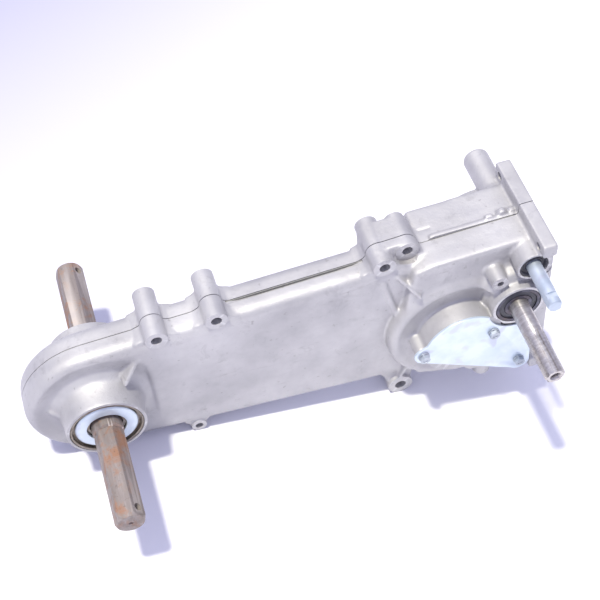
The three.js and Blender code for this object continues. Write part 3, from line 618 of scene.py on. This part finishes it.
def faced(side, *extra):
    """Cutters that face the ends of the bosses flat; each extra is (place, radius, reach)."""
    ends = [(spot.at, spot.radius, reach_to(spot, side)) for spot in BOSSES]
    return [drum(at, radius + 3, *span(side, reach, reach + 6), 48)
            for at, radius, reach in [*ends, *extra]]


def trim(made, side):
    """Cuts the half off at the split."""
    return cut(made, block(-120, 500, *span(side, -80, SPLIT_GAP), -200, 200))


def rib(points, t0, t1, width):
    """A thin web on the near side from (x, z) to (x, z), with its height going from t0 to t1."""
    (ax, az), (bx, bz) = points
    along = Vector((bx - ax, bz - az)).normalized()
    side = Vector((-along.y, along.x)) * width / 2
    root, spread = CASE_HALF - 5, 1.8
    sections = []
    for x, z, t in ((ax, az, t0), (bx, bz, t1)):
        sections.append([
            (x + side.x * spread, -root, z + side.y * spread),
            (x - side.x * spread, -root, z - side.y * spread),
            (x - side.x, -t, z - side.y), (x + side.x, -t, z + side.y),
        ])
    return loft(sections)


def top_groove(t0, t1):
    """The slot along the top of the case, between the second and the third boss."""
    outline = [(139, 0.4), (152, -2.2), (170, -3), (250, -3), (266, -2.2), (276, 0.4)]
    floor = [(x, top_at(x) + depth) for x, depth in outline]
    return prism([*floor, (276, 92), (139, 92)], t0, t1)


def rounded_case(side):
    """One half of the slim case, with the broad rounding round its face."""
    steps = ((-8, 0.0), (11, 0.0), (14.5, 0.7), (17.6, 2.4), (20, 4.8), (21.4, 7.4), (22, 10.5))
    return loft([[(x, side * t, z) for x, z in case_outline(inset)] for t, inset in steps])


def near_slim():
    """The slim case with its hub and the dish that runs round it."""
    slim = fuse([rounded_case(-1), hub(-1)], 1.5, 6)
    dish = lathe([(46, -30), (70, -30), (67, -21.8), (62, -20.4), (56, -19.2), (50, -19.2),
                  (46, -21.5)], HEX, 120)
    return fuse([cut(slim, common(dish, block(-90, 52, -40, 0, -90, 90)))], 1.3, 4)


def near_block():
    """The gear block, with its dome over the countershaft and the groove round the dome."""
    wall = prism([(318, 76), (311, 40), (304, 0), (306, -60), (322, -92), (438, -94), (438, 84.5),
                  (337, 81.5)], -33, 8)
    dome = lathe([(0, -38), (68, -38), (72, -33), (73, -22), (0, -22)], COUNTER, 120)
    shift_house = lathe([(0, -47.5), (33, -47.5), (36.5, -42), (38, -30), (0, -30)], PTO, 96)
    apron = prism([(352, -62), (384, -40), (424, -14), (437, -30), (437, -88), (372, -88)],
                  -49.5, 0)
    bulk = fuse([wall, dome, shift_house, apron], 1.8, 10)
    groove = lathe([(40, -60), (66, -60), (63, -37), (58, -34.6), (52, -33.2), (46, -32.8),
                    (40, -32.8)], COUNTER, 120)
    kept_apron = prism([(352, -60), (386, -42), (402, -26), (437, -10), (437, -90), (372, -90)],
                       -62, 0)
    return fuse([cut(bulk, cut(groove, kept_apron))], 1.6, 16)


def near_bores():
    """What is drilled and faced in the near half alone."""
    return [
        drum(COUNTER, 50, -30.7, 0), drum(COUNTER, COUNTER_BORE_R, -59, -36.5),
        drum(COUNTER, 24, -40, -28),
        drum(PTO, PTO_BORE_R, -62, -43.5, 96), drum(PTO, 16, -48, -30),
        drum(PTO, 27.4, -31.2, -21.2),
        drum(ROD, 14.8, -59, -46, 96), drum(TAP, 3.4, -60, -41, 32),
        drum_z(DRAIN[0], DRAIN_T, 5.3, -120, -82),
        *[drum(at, SCREW_HOLE_R, -59, -43, 32) for at in SCREWS],
        top_groove(-4.2, 2),
        *faced(-1, (ROD, ROD_BOSS_R, ROD_FACE), (TAP, TAP_R, TAP_FACE), (HEX, HUB_R, HUB_FACE)),
        drum(COUNTER, 44, -60, -55.5, 96), drum(PTO, 28.5, -64, -PTO_FACE, 96),
    ]


def near_half():
    slim, bulk = near_slim(), near_block()
    counter_boss = drum(COUNTER, 42, -57.5, 0, 120)
    pto_end, rod_end, tap_end = (-face - LEFT_ON for face in (PTO_FACE, ROD_FACE, TAP_FACE))
    pto_boss = lathe([(0, pto_end), (PTO_BOSS_R, pto_end), (27, -44), (30, -38), (30, 0), (0, 0)],
                     PTO, 96)
    rod_boss = drum(ROD, ROD_BOSS_R, rod_end, 0, 96)
    tap_boss = lathe([(0, tap_end), (TAP_R, tap_end), (9.4, -30), (0, -30)], TAP, 48)
    posts = [drum(at, 7.6, -55.5, -30, 48) for at in SCREWS]
    drain = drum_z(DRAIN[0], DRAIN_T, 9.8, -107, -80)
    ribs = [
        rib(((303, 70), (323, 46)), 24, 40, 3.4), rib(((306, -100), (310, -66)), 24, 36, 3.4),
        rib(((27, 36), (46, 54)), 36, 22.5, 3.4), rib(((-50, 10), (-36, 6)), 22.5, 30, 4),
        rib(((289, 66), (301, 14)), 23.4, 26, 5),
    ]
    bosses = [part for spot in BOSSES for part in boss(spot, -1)]
    rough = fuse([slim, bulk, flange(-1), rear_pad(-1), counter_boss, pto_boss, rod_boss,
                  tap_boss, drain, *posts, *ribs, *bosses], 1.3, 0)
    soft = fuse([rough], 1.05, 7)
    made = trim(cut(soft, *near_bores(), *shared_cuts(-1)), -1)
    return finish(made, "near_case_casting", ["near_case_half"], "case", CAST)


def far_half():
    slim = fuse([rounded_case(1)], 1.5, 6)
    wall = prism(block_outline(), -8, BLOCK_REACH[1])
    bulk = fuse([wall], 1.8, 14)
    bulge = lathe([(0, 20), (60, 20), (60, 42), (55, 50), (46, 54), (44, 63), (41, 66), (30, 66),
                   (29, 63), (0, 63)], PTO, 120)
    bulge = common(bulge, block(300, FLANGE_X0, 10, 80, -95, top_at(400)))
    tube = lathe([(0, 10), (15.5, 10), (14.5, 46), (13.5, 50), (13.5, 99), (11.5, 101), (0, 101)],
                 ROD, 96)
    counter_boss = lathe([(0, 10), (61, 10), (59, 34), (55, 38), (43, 40), (41, 51), (37, 55),
                          (0, 55)], COUNTER, 120)
    bosses = [part for spot in BOSSES for part in boss(spot, 1)]
    lug = drum((421.5, 84.5), 5.4, 3, 10, 40, 0.8)
    strip = prism([(345, 70), (345, 84.2), (349, 85.4), (432, 85.6), (436, 84), (436, 70)], 0, 5)
    pads = [block(404, 411, 3, 8, 78, 88), block(429, 434, 4, 9, 78, 87.5)]
    pocket = prism([(336, 79.6), (351, 80), (351, 92), (336, 92)], 6.5, 17)
    bulk = cut(bulk, pocket)
    soft = fuse([slim, bulk, bulge, tube, counter_boss, lug, strip, *pads, hub(1), flange(1),
                 rear_pad(1), *bosses], 1.05, 7)
    bores = [
        drum(COUNTER, COUNTER_BORE_R, 30, 49), drum(COUNTER, 48, -1, 32),
        drum(PTO, PTO_BORE_R, 30, 51.3),
        top_groove(-2, 0.8),
        *faced(1, (HEX, HUB_R, HUB_FACE)),
    ]
    made = trim(cut(soft, *bores, *shared_cuts(1)), 1)
    return finish(made, "far_case_casting", ["far_case_half"], "case", CAST)


# ------------------------------------------------------------------ shafts

def hex_outline(flat, turn, ease):
    radius = flat / math.sqrt(3)
    return eased(arc((0, 0), radius, turn, turn + 300, 5), ease, 3)


def hex_shaft():
    near, far = HEX_T
    across_flats, turn, top = 26, 9, 15.1
    pin_r, pin_in = 4, 10
    bar = prism(hex_outline(across_flats, turn, 0.5), near, far)
    form = lathe([(0, near), (12.4, near), (13.2, near + 0.5), (top, near + 4.2), (top, -60),
                  (14.2, -57.5), (13.5, -56.4), (13.5, 56.4), (14.2, 57.5), (top, 60),
                  (top, far - 4.2), (13.2, far - 0.5), (12.4, far), (0, far)], HEX, 96)
    bar = common(bar, form)
    core = lathe([(0, -57), (13.6, -57), (15.2, -55.5), (15.2, -41.2), (17.5, -41.2), (17.5, -22),
                  (20, -22), (20, -16), (17.5, -16), (17.5, 41.2), (15.2, 41.2), (15.2, 56),
                  (13.6, 57), (0, 57)], HEX, 96)
    facet = math.radians(turn + 30)
    pins = []
    for t in (near + pin_in, far - pin_in):
        pin = turn_about(drum(HEX, pin_r, -30, 30, 48), math.pi / 2, "Z")
        pins.append(shift(turn_about(pin, -facet, "Y"), 0, t, 0))
    marks = []
    for t, way in ((near, 1), (far, -1)):
        marks.append(lathe([(0, t - way), (2.9, t - way), (1.1, t + 2 * way), (1.1, t + 4 * way),
                            (0, t + 4 * way)], HEX, 32))
    made = cut(join(bar, core), *pins, *marks)
    return finish(made, "hex_shaft_bar", ["hex_output_shaft"], "hex_output", DRAWN,
                  crease=math.radians(8))


def spline_outline(root, tip, key):
    count = 6
    points = []
    for i in range(count):
        mid = math.degrees(2 * math.pi * i / count)
        root_half = math.degrees(math.asin(key / 2 / root))
        tip_half = math.degrees(math.asin(key / 2 / tip))
        points += arc(PTO, root, mid - root_half, mid - root_half, 1)[:1]
        points += arc(PTO, tip, mid - tip_half, mid + tip_half, 6)
        points += arc(PTO, root, mid + root_half, mid + 360 / count - root_half, 6)[:-1]
    return points


def splined_shaft():
    start = SPLINE_T[0]
    run_out = -93.0
    root, tip, key = 8, 10, 5
    keys = prism(spline_outline(root, tip, key), start, run_out + 8)
    core = lathe([(0, run_out - 10), (7.9, run_out - 10), (8.4, run_out - 6), (9.2, run_out - 2.4),
                  (tip, run_out), (tip, -31), (0, -31)], PTO, 96)
    inner = prism(spline_outline(root, tip, key), -32, 16)
    tail = drum(PTO, tip, 14, 50, 64)
    nose = lathe([(0, start), (8.6, start), (10.4, start + 1.8), (10.4, 60), (0, 60)], PTO, 96)
    hole = lathe([(0, start - 1), (6.2, start - 1), (4.6, start + 1.6), (4.2, start + 2.4),
                  (4.2, start + 22), (0, start + 24)], PTO, 48)
    made = cut(common(join(keys, core, inner, tail), nose), hole)
    return finish(made, "splined_shaft_bar", ["splined_output_shaft"], "splined_output",
                  SPLINE_STEEL)


def shift_rod():
    x, z = ROD
    near, far = ROD_T
    radius, travel, reach = 7.5, 12, 12
    rod = drum(ROD, radius, near, far, 96, 1.0)
    notch = block(x - reach, x + reach, near + 7, near + 13, z + 5.2, z + reach)
    flat = block(x + 5.6, x + reach, near - 1, near + 18, z - reach, z + reach)
    detents = [drum_x(22 - slid, z, 1.9, x - reach, x - 6.6, 24) for slid in (0, travel)]
    pin_hole = drum_z(x, -15, 2, z - reach, z + reach, 24)
    made = cut(rod, notch, flat, *detents, pin_hole)
    # The rod wears the darker copy of the zinc, painted shade for how its surface meets the light.
    return finish(made, "shift_rod_bar", ["shift_rod"], "shifter", SHADED_ROD_ZINC)


# ------------------------------------------------------------------ seals, rings and discs

def hub_seal(side, name, node):
    """A pressed steel case and its lip, in one look."""
    profile = [(36, 49.2), (35.4, 49.9), (34.2, 49.9), (33.7, 49.2), (33.7, 45.2), (16.4, 45.2),
               (16.2, 44.8), (16.2, 42.2), (16.6, 41.8), (35.4, 41.8), (36, 42.4)]
    made = lathe([(r, side * t) for r, t in profile], HEX, 144)
    return finish(made, name, [node], "case", SEAL_STEEL)


def dust_disc(side, name, node):
    profile = [(19.4, 48.6), (19.8, 49.0), (28.6, 49.0), (29.6, 48.5), (30.6, 47.6), (30.8, 46.8),
               (30.6, 46.4), (19.4, 46.4)]
    made = lathe([(r, side * t) for r, t in profile], HEX, 144)
    return finish(made, name, [node], "case", ZINC)


def ringed(name, node, body, look, at, profile, steps=96):
    return finish(lathe(profile, at, steps), name, [node], body, look)


def rod_seal():
    t0, t1 = reach_of("shift_rod_seal")
    ringed("rod_seal_lip", "shift_rod_seal", "case", RUBBER, ROD, [
        (7.8, t0 + 2.4), (8.6, t0 + 1.2), (9.4, t0 + 1.4), (10.4, t0 + 2.4), (11.8, t0 + 2.4),
        (12.6, t0 + 0.6), (13.2, t0), (14.1, t0), (14.5, t0 + 0.5), (14.5, t1), (7.8, t1)])


def spline_bearing():
    lip0, lip1 = reach_of("spline_bearing_seal")
    ringed("spline_bearing_shield", "spline_bearing_seal", "case", RUBBER, PTO, [
        (14.5, lip0 + 0.1), (15.0, lip0 - 0.3), (15.7, lip0 - 0.1), (16.2, lip0 + 0.2),
        (17.8, lip0 + 0.2), (18.3, lip0 - 0.2), (19.2, lip0), (19.5, lip0 + 0.4), (19.5, lip1),
        (14.5, lip1)])
    outer0, outer1 = reach_of("spline_bearing_near_outer_ring")
    ringed("spline_bearing_race", "spline_bearing_near_outer_ring", "case",
           BEARING_STEEL, PTO, [
               (19.8, outer0 + 0.3), (20.1, outer0), (22.8, outer0), (23.5, outer0 + 0.7),
               (23.5, outer1), (19.8, outer1)])
    inner0, inner1 = reach_of("spline_bearing_near_inner_ring")
    ringed("spline_bearing_cone", "spline_bearing_near_inner_ring", "splined_output",
           BEARING_STEEL, PTO, [
               (10.2, inner0 + 0.5), (10.7, inner0), (13.9, inner0), (14.3, inner0 + 0.4),
               (14.3, inner1), (10.2, inner1)])


# ------------------------------------------------------------------ cover plate and its screws

def cover_plate():
    outline = [(311.5, -30.5), (414, -88.5), *arc((424.3, -82), 11.2, 238, 371, 20), (433, -9.5),
               *arc(PTO, 31, -59, -161, 24), *arc(COUNTER, 42.3, 53, 159, 56),
               *arc(SCREWS[0], 9.5, 108, 225, 20)]
    plate = prism(outline, *PLATE_T)
    bevel = plate.modifiers.new("edge", "BEVEL")
    bevel.width = 0.35
    bevel.segments = 2
    bevel.limit_method = "ANGLE"
    bevel.angle_limit = math.radians(60)
    settle(plate)
    made = cut(plate, *[drum(at, SCREW_HOLE_R, -70, -40, 32) for at in SCREWS])
    return finish(made, "pressed_cover_plate", ["cover_plate"], "case", ZINC)


def plate_fasteners():
    across_flats = 10
    for i, at in enumerate(SCREWS, start=1):
        washer0, washer1 = reach_of(f"plate_washer_{i}")
        ringed(f"washer_disc_{i}", f"plate_washer_{i}", "case", SCREW_ZINC, at, [
            (SCREW_HOLE_R, washer0 + 0.2), (3.5, washer0), (5.6, washer0), (6, washer0 + 0.4),
            (6, washer1 - 0.1), (5.8, washer1), (SCREW_HOLE_R, washer1)], 64)
        head0, shank1 = reach_of(f"plate_screw_{i}")
        radius = across_flats / math.sqrt(3)
        turn = 12 + 31 * i
        head = prism(eased(arc(at, radius, turn, turn + 300, 5), 0.5, 3), head0, head0 + 3.8)
        crown = lathe([(0, head0), (4.7, head0), (5.9, head0 + 0.9), (5.9, head0 + 4),
                       (0, head0 + 4)], at, 64)
        cup = lathe([(0, head0 - 1), (3.2, head0 - 1), (2.5, head0 + 0.7), (0, head0 + 0.8)],
                    at, 48)
        shank = drum(at, 3, head0 + 3, shank1, 48)
        made = join(cut(common(head, crown), cup), shank)
        finish(made, f"hex_screw_{i}", [f"plate_screw_{i}"], "case", SCREW_ZINC)


def drain_plug():
    low, high = (corner - ORIGIN for corner in node_box("drain_plug"))
    x, t = DRAIN[0], DRAIN_T
    length = high.z - low.z
    plug = lathe([(0, 0), (4.4, 0), (5, 0.6), (5, length), (0, length)], HEX, 64)
    plug = shift(turn_about(plug, math.pi / 2, "X"), x, t, low.z)
    socket_flats, socket_depth = 5, 6
    ring = arc((x, t), socket_flats / math.sqrt(3), 0, 300, 5)
    socket = loft([[(px, pt, z) for px, pt in ring] for z in (low.z - 1, low.z + socket_depth)])
    made = cut(plug, socket)
    return finish(made, "drain_plug_hex", ["drain_plug"], "case", ZINC)


# ------------------------------------------------------------------ CAD nodes that stay

KEPT_LOOKS = {
    "rubber": RUBBER, "ground_steel": GROUND, "gear_steel": GEAR_STEEL, "forged_steel": DRAWN,
    "zinc_plate": ZINC, "gasket_paper": PAPER, "cast": CAST,
}


def dress_kept_nodes():
    slots = {row["node"]: row["material_slot"] for row in frame["record"]["subparts"]}
    for name, made in frame["nodes"].items():
        look = KEPT_LOOKS[slots[name]]
        if not made.material_slots:
            made.data.materials.append(look)
        for place in made.material_slots:
            place.material = look


# ------------------------------------------------------------------ floor, light and camera

def floor_plane():
    """The case lies on its round end and its lowest boss, so the floor leans by a few degrees."""
    points = []
    for name in ("near_case_half", "far_case_half"):
        points += [(v.co.x, v.co.z) for v in frame["nodes"][name].data.vertices]
    middle = sum(x for x, _ in points) / len(points)
    slope, rounds, share = 0.0, 40, 0.9
    for _ in range(rounds):
        left = min((z - slope * x, x) for x, z in points if x < middle)
        right = min((z - slope * x, x) for x, z in points if x >= middle)
        slope += (right[0] - left[0]) / (right[1] - left[1]) * share
    height = min(z - slope * x for x, z in points)
    bm = bmesh.new()
    size, gap = 12.0, 0.0004
    for x, y in ((-size, -size), (size, -size), (size, size), (-size, size)):
        bm.verts.new((x, y, slope * x + height - gap))
    bm.faces.new(bm.verts)
    floor = to_object(bm, "floor")
    n = Nodes("pale_floor")
    # Painted shade: the floor darkens and turns bluer towards the far left, standing in for the
    # light falling off there.
    across = n.tree.nodes.new("ShaderNodeVectorMath")
    across.operation = "DOT_PRODUCT"
    n.put(across.inputs[0], n.place)
    across.inputs[1].default_value = (-0.55, 0.85, 0)
    tone = n.ramp(across.outputs["Value"], (0.0, (0.90, 0.90, 0.95)), (1.0, (0.34, 0.34, 0.50)))
    floor.data.materials.append(n.done(tone, 0.9, 0.0))


def lights():
    world = bpy.data.worlds.new("soft_sky")
    world.use_nodes = True
    tree = world.node_tree
    sky = tree.nodes["Background"]
    place = tree.nodes.new("ShaderNodeTexCoord")
    height = tree.nodes.new("ShaderNodeSeparateXYZ")
    shade = tree.nodes.new("ShaderNodeValToRGB")
    low, high = shade.color_ramp.elements
    low.position, low.color = 0.0, (0.36, 0.36, 0.50, 1)
    high.position, high.color = 0.65, (0.74, 0.75, 1.0, 1)
    tree.links.new(place.outputs["Generated"], height.inputs["Vector"])
    tree.links.new(height.outputs["Z"], shade.inputs["Fac"])
    tree.links.new(shade.outputs["Color"], sky.inputs["Color"])
    sky.inputs["Strength"].default_value = 1.05
    SCENE.world = world
    sun = bpy.data.lights.new("key", "SUN")
    sun.energy = 3.6
    sun.angle = math.radians(5)
    sun.color = (1.0, 0.96, 0.80)
    lamp = bpy.data.objects.new("key", sun)
    lamp.rotation_euler = Vector((0.16, 0.06, -0.98)).to_track_quat("-Z", "Y").to_euler()
    SCENE.collection.objects.link(lamp)


def camera():
    right = Vector((0.95473, -0.28950, -0.06844))
    up = Vector((0.27031, 0.74820, 0.60591))
    back = right.cross(up)
    lens = bpy.data.cameras.new("camera")
    lens.sensor_width = 36
    lens.lens = 76.86
    eye = bpy.data.objects.new("camera", lens)
    pose = Matrix((right, up, back)).transposed().to_4x4()
    pose.translation = (-0.3942, -0.7434, 1.0574)
    eye.matrix_world = pose
    SCENE.collection.objects.link(eye)
    SCENE.camera = eye
    SCENE.view_settings.view_transform = "Standard"


camera()
lights()
floor_plane()
dress_kept_nodes()
near_half()
far_half()
hex_shaft()
splined_shaft()
shift_rod()
hub_seal(-1, "hub_seal_near_case", "hex_seal_near")
hub_seal(1, "hub_seal_far_case", "hex_seal_far")
dust_disc(-1, "hub_disc_near", "dust_disc_near")
dust_disc(1, "hub_disc_far", "dust_disc_far")
rod_seal()
spline_bearing()
cover_plate()
plate_fasteners()
drain_plug()
